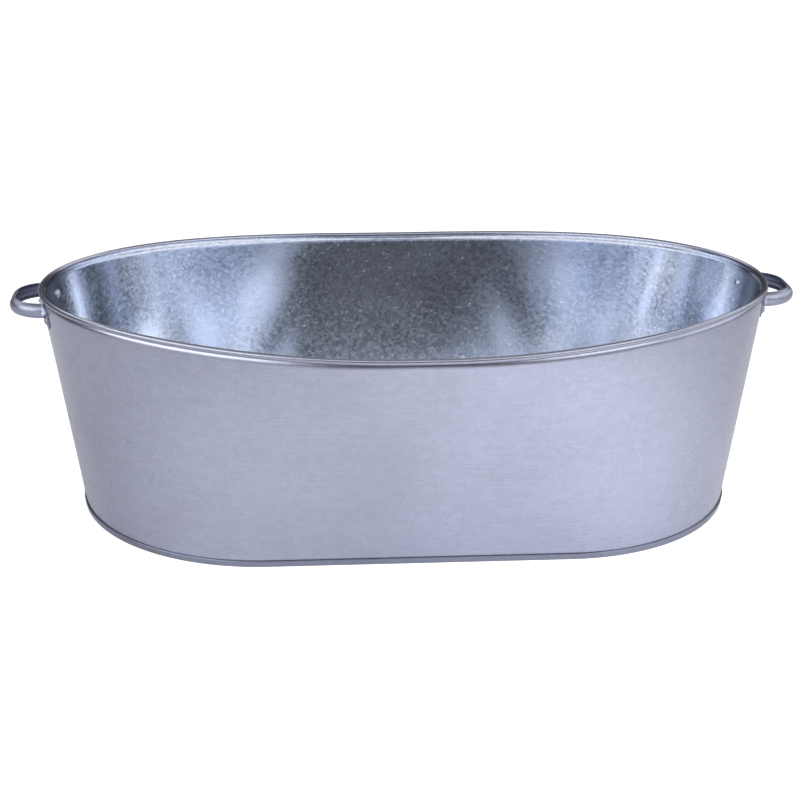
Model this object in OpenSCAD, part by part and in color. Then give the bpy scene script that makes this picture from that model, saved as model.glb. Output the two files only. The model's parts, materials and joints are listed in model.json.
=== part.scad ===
// Livestock water trough: an oval tub of galvanised sheet with a handle at each end.
//
// Two equal wall sheets meet in a lock seam at each end. Their top edge is turned in and rolled round a wire,
// and their bottom edge is hooked into the folded hem of a raised base pan. Each handle is a half-round pressed strap
// with two feet, and each foot is held by one rivet through the wall.
//
// Frame: origin in the middle of the footprint, on the ground. X is the long way, Z is up.

/* [Rim] */
// Length over the rolled rim
rim_l = 804; // [650:1:1000]
// Width over the rolled rim
rim_w = 540; // [440:5:680]
// Straight length in the middle of each long side, at the rim
rim_flat = 48; // [0:2:120]
// Height of the top of the roll at the two ends
rim_h = 244; // [190:1:320]
// How much lower the rim is in the middle of the long sides
side_dip = 12; // [0:0.5:20]
// How much the rim is lifted half way between an end and a side
quarter_rise = 3.5; // [0:0.5:6]
// Diameter of the wire inside the roll
wire_d = 4.8; // [3:0.2:8]
// How far the roll stands out beyond the line of the wall at the two ends
end_proud = 1.6; // [0.5:0.1:4]
// How far the roll stands out beyond the line of the wall on the long sides
side_proud = 3.1; // [0.5:0.1:4]
// Drop from the centre of the roll to the bend where the wall is turned in towards the roll
shoulder_h = 7; // [6:0.5:20]

/* [Base] */
// Length over the hem
base_l = 723; // [560:1:900]
// Width over the hem
base_w = 463; // [360:1:600]
// Straight length in the middle of each long side, at the base
base_flat = 316; // [100:2:400]
// Height of the pan's floor above the ground
pan_raise = 8; // [7:0.5:20]
// Height of the folded hem
hem_h = 6.5; // [5:0.25:10]
// Inside radius of the bend round the pan's floor
pan_bend_r = 2; // [0.5:0.25:4]

/* [Sheet] */
// Thickness of the galvanised sheet of the walls and the base
sheet_t = 0.6; // [0.4:0.05:1]
// Width of the lock seam at each end
seam_w = 10; // [8:0.5:14]

/* [Handles] */
// Distance between the two rivets of one handle
rivet_span = 112; // [85:1:150]
// How far the crown of each leg lies inside the line of its rivet
leg_inset = 4; // [2:0.5:6]
// How far the handle stands out beyond the rim
handle_reach = 31; // [20:1:60]
// Drop from the top of the rim to the centre line of the strap
handle_drop = 18.5; // [15:0.5:40]
// Height of the strap
strap_h = 16.5; // [10:0.5:20]
// Depth of the strap's hollow section
strap_depth = 7; // [4:0.5:9]
// Thickness of the handle's sheet
strap_t = 1.2; // [0.8:0.1:2]
// Radius round each corner of the loop, at the crown of the strap
loop_r = 39; // [15:1:40]
// Drop from the strap's centre line to the rivet
rivet_drop = 8.5; // [8:0.5:20]
// Width of a foot
foot_w = 17; // [14:0.5:24]

/* [Rivets] */
// Diameter of the shank
rivet_d = 5; // [3:0.5:6]
// Diameter of the head outside the wall
outer_head_d = 9; // [8:0.5:12]
// Height of the head outside the wall
outer_head_h = 2.6; // [1.5:0.1:4]
// Diameter of the head inside the wall
inner_head_d = 10.5; // [8:0.5:13]
// Height of the head inside the wall
inner_head_h = 2.8; // [1.5:0.1:4]

/* [Hidden] */

galvanised = [0.70, 0.73, 0.79];
zinc_bright = [0.78, 0.80, 0.85];
wire_grey = [0.50, 0.52, 0.56];

// Clearances
fold_gap = 0.05;      // between two layers of a fold
tip_gap = 0.4;        // between the edge of a folded leg and the bend round it
wire_gap = 0.1;       // between the wire and the sheet rolled round it
seat_gap = 0.1;       // between a rivet's head and what it sits on
foot_gap = 0.05;      // between a foot and the wall
bore_gap = 0.1;       // round the shank of a rivet
butt_gap = 0.2;       // between the two wall sheets where they meet
neck_h = 2;           // from the centre of the roll down to the top of the shoulder

// Facets: one station every few degrees of turn, and the steps round a curl
turn_step = 3;
curl_steps = 10;
wire_sides = 10;
curve_fn = 96;
strap_steps = 8;
corner_steps = 12;

// The roll: its radii round the wire, and the turn at which its edge ends
curl_r = wire_d/2 + wire_gap;
roll_r = curl_r + sheet_t;
curl_start = 180;
curl_end = -115;

// Layers outside the wall's outer face: layer 1 lies next to the wall
function layer_in(n) = n*fold_gap + (n - 1)*sheet_t;
function layer_out(n) = n*(fold_gap + sheet_t);
fold_out = layer_out(3);

// Ovals: half axes of the rounded ends, and half the straight length between them
rim_oval = [rim_l/2 - roll_r - rim_flat/2, rim_w/2 - roll_r, rim_flat/2];
base_oval = [base_l/2 - fold_out - base_flat/2, base_w/2 - fold_out, base_flat/2];
// Where the wall's outer face would be at the height of the roll's centre
wall_oval = [rim_l/2 - end_proud - rim_flat/2, rim_w/2 - side_proud, rim_flat/2];

// ---- Shape of the wall ----
// A station is [normal angle at the base, normal angle at the rim, end (1 or -1), angle of its own plane].
// Sheet metal bends along straight lines, so each line up the wall joins points whose tangents are parallel.
function oval_radius(o, a) = sqrt(pow(o[0]*cos(a), 2) + pow(o[1]*sin(a), 2));
function oval_point(o, a, end) =
    [end*o[2] + o[0]*o[0]*cos(a)/oval_radius(o, a), o[1]*o[1]*sin(a)/oval_radius(o, a)];

// Normal angle at which an oval's right end is y away from the long axis
function angle_at_y(o, y) = asin(o[0]*y/sqrt(pow(o[1], 4) - y*y*(o[1]*o[1] - o[0]*o[0])));

// Height of the roll's centre above a point of the rim
function turn_at(p) = atan2(p[1]/rim_w, p[0]/rim_l);
function roll_z(p) = rim_h - roll_r
    + side_dip*(cos(2*turn_at(p)) - 1)/2 + quarter_rise*(1 - cos(4*turn_at(p)))/2;

function rim_point(s) = oval_point(rim_oval, s[1], s[2]);
function wall_point(s) = oval_point(wall_oval, s[1], s[2]);
function base_point(s) = oval_point(base_oval, s[0], s[2]);

// A point of a section is [from, follows, out, up]: up is measured from the ground (from = 0) or from the
// roll's centre (from = 1), and out from the wall's outer face if it follows the taper (follows = 1), or
// from the rim's or the base's own oval if it doesn't.
function section_z(s, p) = p[0] == 1 ? roll_z(rim_point(s)) + p[3] : p[3];
function taper_share(s, p) = p[1] == 1 ? section_z(s, p)/roll_z(rim_point(s)) : p[0];
function place(s, p) =
    let (b = base_point(s), t = p[1] == 1 ? wall_point(s) : rim_point(s), k = taper_share(s, p), z = section_z(s, p))
    [b[0] + (t[0] - b[0])*k + p[2]*cos(s[3]), b[1] + (t[1] - b[1])*k + p[2]*sin(s[3]), z];

// Stations round a half or the whole of the tub
function half_turn(from) = [for (a = [turn_step : turn_step : 90]) from + a];
function station(a, end) = [a, a, end, a];
whole_ring = concat(
    [for (a = [-90 : turn_step : 90]) station(a, 1)],
    [for (a = [90 : turn_step : 270]) station(a, -1)]);

// The wall sheet runs from the left end, round the front, to just past the right end
seam_edge = seam_w/2 - tip_gap;
left_edge_y = seam_edge + butt_gap;
front_sheet = concat(
    [[180 + angle_at_y(base_oval, left_edge_y), 180 + angle_at_y(wall_oval, left_edge_y), -1, 180]],
    [for (a = [180 + turn_step : turn_step : 270]) station(a, -1)],
    [for (a = [270 : turn_step : 360 - turn_step]) station(a, 1)],
    [[360 + angle_at_y(base_oval, seam_edge), 360 + angle_at_y(wall_oval, seam_edge), 1, 360]]);

// ---- Sections ----
function curl(r, from, to) =
    [for (i = [0 : curl_steps]) let (a = from + (to - from)*i/curl_steps) [1, 0, r*cos(a), r*sin(a)]];

wall_foot = sheet_t + fold_gap;
hook_top = hem_h - sheet_t - tip_gap;
wall_section = concat(
    [[0, 1, layer_out(2), hook_top], [0, 1, layer_out(2), wall_foot], [0, 1, -sheet_t, wall_foot],
     [1, 1, -sheet_t, -shoulder_h], [1, 0, -roll_r, -neck_h]],
    curl(roll_r, curl_start, curl_end),
    curl(curl_r, curl_end, curl_start),
    [[1, 0, -curl_r, -neck_h], [1, 1, 0, -shoulder_h],
     [0, 1, 0, wall_foot + sheet_t], [0, 1, layer_in(2), wall_foot + sheet_t], [0, 1, layer_in(2), hook_top]]);

wire_section = [for (i = [0 : wire_sides - 1])
    let (a = -360*i/wire_sides) [1, 0, wire_d/2*cos(a), wire_d/2*sin(a)]];

// The pan: its floor, the bend, the inner leg, the hem and the leg that locks behind the wall's hook
pan_in = -2*sheet_t - fold_gap;
hem_round = sheet_t;
pan_top_r = pan_bend_r + sheet_t;
function pan_bend(r) = [for (a = [90 : -30 : 0])
    [0, 1, pan_in + sheet_t - pan_top_r + r*cos(a), pan_raise - pan_top_r + r*sin(a)]];
function hem_corner(up) = [for (a = [0 : 30 : 90])
    let (s = up ? 1 : -1, z = up ? hem_h - hem_round : hem_round)
    [0, 1, fold_out - hem_round + hem_round*cos(a), z + s*hem_round*sin(a)]];
function reversed(v) = [for (i = [len(v) - 1 : -1 : 0]) v[i]];
pan_section = concat(
    pan_bend(pan_top_r),
    [[0, 1, pan_in + sheet_t, sheet_t], [0, 1, layer_in(3), sheet_t], [0, 1, layer_in(3), hem_h - sheet_t],
     [0, 1, layer_out(1), hem_h - sheet_t], [0, 1, layer_out(1), wall_foot + sheet_t + tip_gap],
     [0, 1, layer_in(1), wall_foot + sheet_t + tip_gap], [0, 1, layer_in(1), hem_h]],
    reversed(hem_corner(true)),
    hem_corner(false),
    [[0, 1, pan_in, 0]],
    reversed(pan_bend(pan_bend_r)));

// ---- Swept solids ----
// Side faces between neighbouring stations, as triangles
function grid_faces(rows, n, closed_rows, closed_section) = [
    for (i = [0 : rows - (closed_rows ? 1 : 2)]) for (j = [0 : n - (closed_section ? 1 : 2)])
        let (a = i*n + j, b = i*n + (j + 1)%n, c = ((i + 1)%rows)*n + (j + 1)%n, d = ((i + 1)%rows)*n + j)
        each [[a, c, b], [a, d, c]]];

// A bent sheet's section goes up one face and back down the other, so its ends are capped pair by pair
function cap_faces(n, first, outward) = [
    for (i = [0 : n/2 - 2]) for (q = [[i, i + 1, n - 1 - i], [i + 1, n - 2 - i, n - 1 - i]])
        [for (k = [0 : 2]) first + q[outward ? k : 2 - k]]];

module swept_bar(stations, section, closed) {
    n = len(section);
    rows = len(stations);
    caps = closed ? [] : concat(cap_faces(n, 0, true), cap_faces(n, (rows - 1)*n, false));
    polyhedron([for (s = stations) each [for (p = section) place(s, p)]],
        concat(grid_faces(rows, n, closed, true), caps), convexity = 10);
}

// A closed ring whose section starts and ends on two flat plates
module swept_pan(stations, section) {
    n = len(section);
    rows = len(stations);
    polyhedron([for (s = stations) each [for (p = section) place(s, p)]],
        concat(grid_faces(rows, n, true, false),
            [[for (i = [0 : rows - 1]) (rows - 1 - i)*n], [for (i = [0 : rows - 1]) i*n + n - 1]]),
        convexity = 10);
}

// ---- Places on the wall ----
function lean_at(a) =
    let (s = station(a, 1), b = base_point(s), t = wall_point(s))
    atan(((t[0] - b[0])*cos(a) + (t[1] - b[1])*sin(a))/roll_z(rim_point(s)));

// Normal angle at which the wall is y away from the long axis, at height z
function wall_y(a, z) = place(station(a, 1), [0, 1, 0, z])[1];
function wall_angle(y, z, low = 0, high = 80, tries = 24) =
    tries == 0 ? (low + high)/2
    : wall_y((low + high)/2, z) < y ? wall_angle(y, z, (low + high)/2, high, tries - 1)
    : wall_angle(y, z, low, (low + high)/2, tries - 1);

strap_z = rim_h - handle_drop;
rivet_z = strap_z - rivet_drop;
foot_a = wall_angle(rivet_span/2, rivet_z);

// Moves children to the wall's outer face: X points straight out of the wall, Z up along it
module on_wall(a, z) {
    translate(place(station(a, 1), [0, 1, 0, z])) rotate([0, lean_at(a), a]) children();
}

module at_each_foot() {
    on_wall(foot_a, rivet_z) children();
    mirror([0, 1, 0]) on_wall(foot_a, rivet_z) children();
}

// ---- Lock seam at the right end, drawn as a plan section swept up the wall ----
seam_low = hem_h + tip_gap + sheet_t;
seam_high = rim_h - roll_r - shoulder_h - 2*tip_gap;
end_lip = sheet_t/2;                    // how far a sheet's end stands past the riser of its hook
riser_y = seam_edge - end_lip;
far_bend_y = -seam_w/2;
root = -sheet_t/2;

module seam_sweep() {
    on_wall(0, seam_low) linear_extrude((seam_high - seam_low)/cos(lean_at(0))) children();
}

// The edge of the sheet that comes from the front: it turns back once, in layer 2
module front_hook() {
    seam_sweep() polygon([
        [root, riser_y], [layer_out(2), riser_y], [layer_out(2), far_bend_y + sheet_t + tip_gap],
        [layer_in(2), far_bend_y + sheet_t + tip_gap], [layer_in(2), riser_y - sheet_t],
        [root, riser_y - sheet_t]]);
}

// The edge of the sheet that comes from the back: it runs over the seam in layer 3 and returns in layer 1
module back_hook() {
    back_y = left_edge_y + end_lip;
    seam_sweep() polygon([
        [root, back_y + sheet_t], [fold_out, back_y + sheet_t], [fold_out, far_bend_y],
        [layer_in(1), far_bend_y], [layer_in(1), riser_y - sheet_t - tip_gap],
        [layer_out(1), riser_y - sheet_t - tip_gap], [layer_out(1), far_bend_y + sheet_t],
        [layer_in(3), far_bend_y + sheet_t], [layer_in(3), back_y], [root, back_y]]);
}

// ---- Walls ----
module rivet_bores() {
    at_each_foot() rotate([0, 90, 0])
        cylinder(d = rivet_d + 2*bore_gap, h = 8*sheet_t, center = true, $fn = curve_fn);
}

module wall_sheet() {
    difference() {
        union() {
            swept_bar(front_sheet, wall_section, false);
            front_hook();
            rotate([0, 0, 180]) back_hook();
        }
        rivet_bores();
        rotate([0, 0, 180]) rivet_bores();
    }
}

module wall_front() {
    color(galvanised) wall_sheet();
}

module wall_back() {
    color(galvanised) rotate([0, 0, 180]) wall_sheet();
}

module rim_wire() {
    color(wire_grey) swept_bar(whole_ring, wire_section, true);
}

module base_pan() {
    color(galvanised) swept_pan(whole_ring, pan_section);
}

// ---- Handles ----
crown_y = rivet_span/2 - leg_inset;
crown_x = rim_l/2 + handle_reach;
strap_r = (strap_depth*strap_depth + strap_h*strap_h/4)/(2*strap_depth);
root_x = place(station(foot_a, 1), [0, 1, 0, rivet_z])[0] - strap_h;
plate_out = foot_gap + strap_t;

// Half-round hollow section, up its outer face and back down its inner face: each point is [out, up] from the crown
function strap_arc(r, turns) = let (open = acos((strap_r - strap_depth)/r))
    [for (i = turns) [r*cos(open*i/strap_steps) - strap_r, r*sin(open*i/strap_steps)]];
strap_section = concat(
    strap_arc(strap_r, [-strap_steps : strap_steps]),
    strap_arc(strap_r - strap_t, [strap_steps : -1 : -strap_steps]));

// The crown's line from one foot to the other: each stop is [x, y, angle of the way out]
half_line = concat(
    [for (a = [0 : 90/corner_steps : 90])
        [crown_x + loop_r*(cos(a) - 1), crown_y + loop_r*(sin(a) - 1), a]],
    [[root_x, crown_y, 90]]);
crown_line = concat(reversed(half_line), [for (p = half_line) [p[0], -p[1], -p[2]]]);

module strap() {
    n = len(strap_section);
    rows = len(crown_line);
    polyhedron(
        [for (c = crown_line) each [for (p = strap_section)
            [c[0] + p[0]*cos(c[2]), c[1] + p[0]*sin(c[2]), strap_z + p[1]]]],
        concat(grid_faces(rows, n, false, true), cap_faces(n, 0, true), cap_faces(n, (rows - 1)*n, false)),
        convexity = 10);
}

// The tongue that lies on the wall, in the foot's own frame
foot_top = rivet_drop + strap_h/2;
foot_side = leg_inset + strap_depth + strap_t;
module foot_plate() {
    translate([foot_gap, 0, 0]) rotate([90, 0, 90]) linear_extrude(strap_t) hull() {
        circle(d = foot_w, $fn = curve_fn);
        translate([-foot_side, rivet_drop/2]) square([foot_side + foot_w/2, foot_top - rivet_drop/2]);
    }
}

module handle() {
    difference() {
        union() {
            difference() {
                strap();
                at_each_foot() translate([plate_out - strap_t/2 - rivet_span, -rivet_span/2, -rivet_span/2])
                    cube(rivet_span);
            }
            at_each_foot() foot_plate();
        }
        rivet_bores();
    }
}

module handle_right() {
    color(zinc_bright) handle();
}

module handle_left() {
    color(zinc_bright) rotate([0, 0, 180]) handle();
}

// ---- Rivets ----
// A domed head that stands on the plane Z = 0
module dome(d, h) {
    r = (d*d/4 + h*h)/(2*h);
    intersection() {
        translate([0, 0, h - r]) sphere(r, $fn = curve_fn);
        cylinder(d = 2*d, h = 2*h, $fn = curve_fn);
    }
}

module rivet() {
    outer_seat = plate_out + seat_gap;
    inner_seat = -sheet_t - seat_gap;
    rotate([0, 90, 0]) {
        translate([0, 0, outer_seat]) dome(outer_head_d, outer_head_h);
        translate([0, 0, inner_seat]) cylinder(d = rivet_d, h = outer_seat - inner_seat, $fn = curve_fn);
        translate([0, 0, inner_seat]) mirror([0, 0, 1]) dome(inner_head_d, inner_head_h);
    }
}

module rivets_right() {
    color(zinc_bright) at_each_foot() rivet();
}

module rivets_left() {
    color(zinc_bright) rotate([0, 0, 180]) at_each_foot() rivet();
}

wall_front();
wall_back();
rim_wire();
base_pan();
handle_left();
handle_right();
rivets_left();
rivets_right();
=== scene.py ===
"""Looks of an oval galvanised trough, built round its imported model.

The trough is two sheets of galvanised steel, rolled round a wire at the rim, locked together by a folded seam at each
end and hooked into the hem of a raised base pan. A half-round pressed strap is riveted to each end as a handle.

Every length is in metres, +X runs along the tub and +Z points up.
"""

from __future__ import annotations

import json
import logging
import math
from dataclasses import dataclass
from enum import Enum
from typing import Callable, Sequence

import bpy
from mathutils import Matrix, Vector

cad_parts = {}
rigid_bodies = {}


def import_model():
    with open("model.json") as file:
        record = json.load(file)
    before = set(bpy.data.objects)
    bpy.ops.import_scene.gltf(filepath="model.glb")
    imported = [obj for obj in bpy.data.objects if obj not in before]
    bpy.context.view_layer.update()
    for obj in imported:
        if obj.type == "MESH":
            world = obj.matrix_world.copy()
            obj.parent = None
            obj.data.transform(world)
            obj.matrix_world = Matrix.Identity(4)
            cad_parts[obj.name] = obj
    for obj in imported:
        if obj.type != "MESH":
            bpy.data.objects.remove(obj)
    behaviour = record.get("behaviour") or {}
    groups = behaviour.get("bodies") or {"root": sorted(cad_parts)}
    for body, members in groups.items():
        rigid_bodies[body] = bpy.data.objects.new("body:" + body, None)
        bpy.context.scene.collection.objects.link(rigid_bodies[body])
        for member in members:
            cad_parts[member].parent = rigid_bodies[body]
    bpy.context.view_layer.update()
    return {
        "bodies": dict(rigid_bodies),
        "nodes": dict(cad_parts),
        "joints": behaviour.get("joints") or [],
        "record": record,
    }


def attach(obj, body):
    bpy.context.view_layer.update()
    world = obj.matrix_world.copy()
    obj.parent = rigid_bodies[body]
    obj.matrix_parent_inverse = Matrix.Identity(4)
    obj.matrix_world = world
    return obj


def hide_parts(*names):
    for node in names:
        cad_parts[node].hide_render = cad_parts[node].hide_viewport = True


LOG = logging.getLogger("trough")
MM = 0.001
TOUCH = 1e-6
HALF_TURN = Matrix.Rotation(math.pi, 4, "Z")


# ---- Shape of the tub ----


class Datum(Enum):
    """What the height of a section's point is measured from."""

    GROUND = "above the ground"
    ROLL = "above the centre of the roll"
    WALL = "share of the wall, from its foot to the shoulder"
    SHOULDER = "share of the rounded corner at the shoulder"


class Pick(Enum):
    """What is selected on a piece in edit mode."""

    VERTICES = "VERT"
    EDGES = "EDGE"
    FACES = "FACE"


@dataclass(frozen=True)
class Oval:
    """A stretched ellipse: two half ellipses joined by straight sides."""

    half_long: float
    half_wide: float
    half_flat: float

    def reach(self, angle: float) -> float:
        """Returns the distance from the half ellipse's centre to its tangent whose normal has this angle."""
        return math.hypot(self.half_long * math.cos(angle), self.half_wide * math.sin(angle))

    def point(self, angle: float, side: int) -> Vector:
        """Finds the point whose outward normal has this angle.

        Args:
            angle: The normal's angle from +X, in radians.
            side: 1 on the right half, -1 on the left.

        Returns:
            The point, with Z at zero.
        """
        reach = self.reach(angle)
        return Vector(
            (
                side * self.half_flat + self.half_long**2 * math.cos(angle) / reach,
                self.half_wide**2 * math.sin(angle) / reach,
                0.0,
            )
        )

    def angle_at(self, y: float) -> float:
        """Returns the normal's angle where the right end is y away from the long axis."""
        wide, long = self.half_wide, self.half_long
        return math.asin(long * y / math.sqrt(wide**4 - y * y * (wide * wide - long * long)))


@dataclass(frozen=True)
class Station:
    """One straight line up the wall, from the base's oval to the rim's."""

    base_angle: float
    rim_angle: float
    side: int
    plane: float

    @classmethod
    def at(cls, angle: float, side: int) -> "Station":
        """Returns a station whose tangents at the base and at the rim are parallel."""
        return cls(angle, angle, side, angle)


@dataclass(frozen=True)
class Spot:
    """A point of a section across the sheet: how far it lies outwards, and how far up from its datum."""

    out: float
    up: float
    datum: Datum = Datum.GROUND


@dataclass(frozen=True)
class TubForm:
    """Sizes of the tub, and where a section's points come to lie on it."""

    rim_length: float = 804 * MM
    rim_width: float = 540 * MM
    rim_flat: float = 48 * MM
    rim_height: float = 244 * MM
    side_dip: float = 12 * MM
    quarter_rise: float = 3.5 * MM
    base_length: float = 723 * MM
    base_width: float = 463 * MM
    base_flat: float = 316 * MM
    sheet: float = 0.6 * MM
    fold_gap: float = 0.05 * MM
    wire: float = 4.8 * MM
    wire_gap: float = 0.1 * MM
    end_proud: float = 1.6 * MM
    side_proud: float = 3.1 * MM
    shoulder: float = 7 * MM
    neck: float = 2 * MM
    hem: float = 6.5 * MM
    pan_raise: float = 8 * MM
    pan_bend: float = 2 * MM
    seam_half: float = 5 * MM
    tip_gap: float = 0.4 * MM
    seam_lap: float = 0.2 * MM
    turn_step: float = math.radians(1.5)

    @property
    def curl_radius(self) -> float:
        """Inner radius of the sheet rolled round the wire."""
        return self.wire / 2 + self.wire_gap

    @property
    def roll_radius(self) -> float:
        """Outer radius of the roll."""
        return self.curl_radius + self.sheet

    def layer(self, number: int) -> float:
        """Returns how far the middle of a folded layer lies outside the wall's outer face."""
        return number * self.fold_gap + (number - 0.5) * self.sheet

    @property
    def rim_oval(self) -> Oval:
        """The line of the roll's centre, seen from above."""
        flat = self.rim_flat / 2
        return Oval(self.rim_length / 2 - self.roll_radius - flat, self.rim_width / 2 - self.roll_radius, flat)

    @property
    def base_oval(self) -> Oval:
        """The line of the wall's outer face on the ground."""
        flat, folds = self.base_flat / 2, self.layer(3) + self.sheet / 2
        return Oval(self.base_length / 2 - folds - flat, self.base_width / 2 - folds, flat)

    @property
    def wall_oval(self) -> Oval:
        """The line that the wall's outer face would reach at the height of the roll's centre."""
        flat = self.rim_flat / 2
        return Oval(self.rim_length / 2 - self.end_proud - flat, self.rim_width / 2 - self.side_proud, flat)

    def roll_height(self, point: Vector) -> float:
        """Returns the height of the roll's centre above a point of the rim."""
        turn = math.atan2(point.y / self.rim_width, point.x / self.rim_length)
        dip = self.side_dip * (math.cos(2 * turn) - 1) / 2
        return self.rim_height - self.roll_radius + dip + self.quarter_rise * (1 - math.cos(4 * turn)) / 2

    def place(self, station: Station, spot: Spot) -> Vector:
        """Finds where a section's point lies on the tub.

        Args:
            station: The line up the wall that the section crosses.
            spot: The point of the section, measured from the ground or from the roll.

        Returns:
            The point in the tub's frame.
        """
        base = self.base_oval.point(station.base_angle, station.side)
        rim = self.rim_oval.point(station.rim_angle, station.side)
        top = self.roll_height(rim)
        if spot.datum is Datum.ROLL:
            height, share = top + spot.up, 1.0
        else:
            height, share = spot.up, spot.up / top
            rim = self.wall_oval.point(station.rim_angle, station.side)
        outwards = Vector((math.cos(station.plane), math.sin(station.plane), 0.0))
        flat = base.lerp(rim, share) + outwards * spot.out
        return Vector((flat.x, flat.y, height))

    def lean(self, angle: float) -> float:
        """Returns how far the wall leans outwards at a normal's angle, in radians."""
        base, top = self.base_oval.point(angle, 1), self.wall_oval.point(angle, 1)
        across = (top - base).dot(Vector((math.cos(angle), math.sin(angle), 0.0)))
        return math.atan2(across, self.roll_height(self.rim_oval.point(angle, 1)))

    def angle_on_wall(self, y: float, height: float) -> float:
        """Returns the normal's angle where the right end's wall is y away from the long axis at a height."""
        low, high = 0.0, math.radians(80)
        for _ in range(40):
            middle = (low + high) / 2
            if self.place(Station.at(middle, 1), Spot(0.0, height)).y < y:
                low = middle
            else:
                high = middle
        return (low + high) / 2

    def wall_frame(self, angle: float, height: float) -> Matrix:
        """Builds the frame of a spot on the right end's wall.

        Args:
            angle: The normal's angle, in radians.
            height: Height above the ground.

        Returns:
            A matrix whose X axis points straight out of the wall and whose Z axis runs up along it.
        """
        spot = self.place(Station.at(angle, 1), Spot(0.0, height))
        return Matrix.Translation(spot) @ Matrix.Rotation(angle, 4, "Z") @ Matrix.Rotation(self.lean(angle), 4, "Y")

    def arc(self, start: float, stop: float, side: int) -> list[Station]:
        """Lists stations on one half of the tub, from one normal angle to another."""
        count = max(1, round(abs(stop - start) / self.turn_step))
        return [Station.at(start + (stop - start) * i / count, side) for i in range(count + 1)]

    def half_stations(self) -> list[Station]:
        """Lists the stations of one wall sheet, from the left end round the front to the right end."""
        seam_edge = self.seam_half - self.tip_gap
        left_y = seam_edge + self.seam_lap
        quarter, step = math.pi / 2, self.turn_step
        return [
            self.edge_station(left_y, math.pi, -1),
            *self.arc(math.pi + 2 * step, 3 * quarter, -1),
            *self.arc(3 * quarter, 4 * quarter - step, 1),
            self.edge_station(seam_edge, 4 * quarter, 1),
        ]

    def edge_station(self, y: float, plane: float, side: int) -> Station:
        """Returns the station of a sheet's edge, which runs y away from the long axis at one end."""
        return Station(plane + self.base_oval.angle_at(y), plane + self.wall_oval.angle_at(y), side, plane)

    def ring_stations(self) -> list[Station]:
        """Lists the stations of the whole tub, anticlockwise from the front's middle."""
        quarter = math.pi / 2
        return [*self.arc(-quarter, quarter, 1), *self.arc(quarter, 3 * quarter, -1)]


# ---- The sheet-metal worker's tools ----


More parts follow.
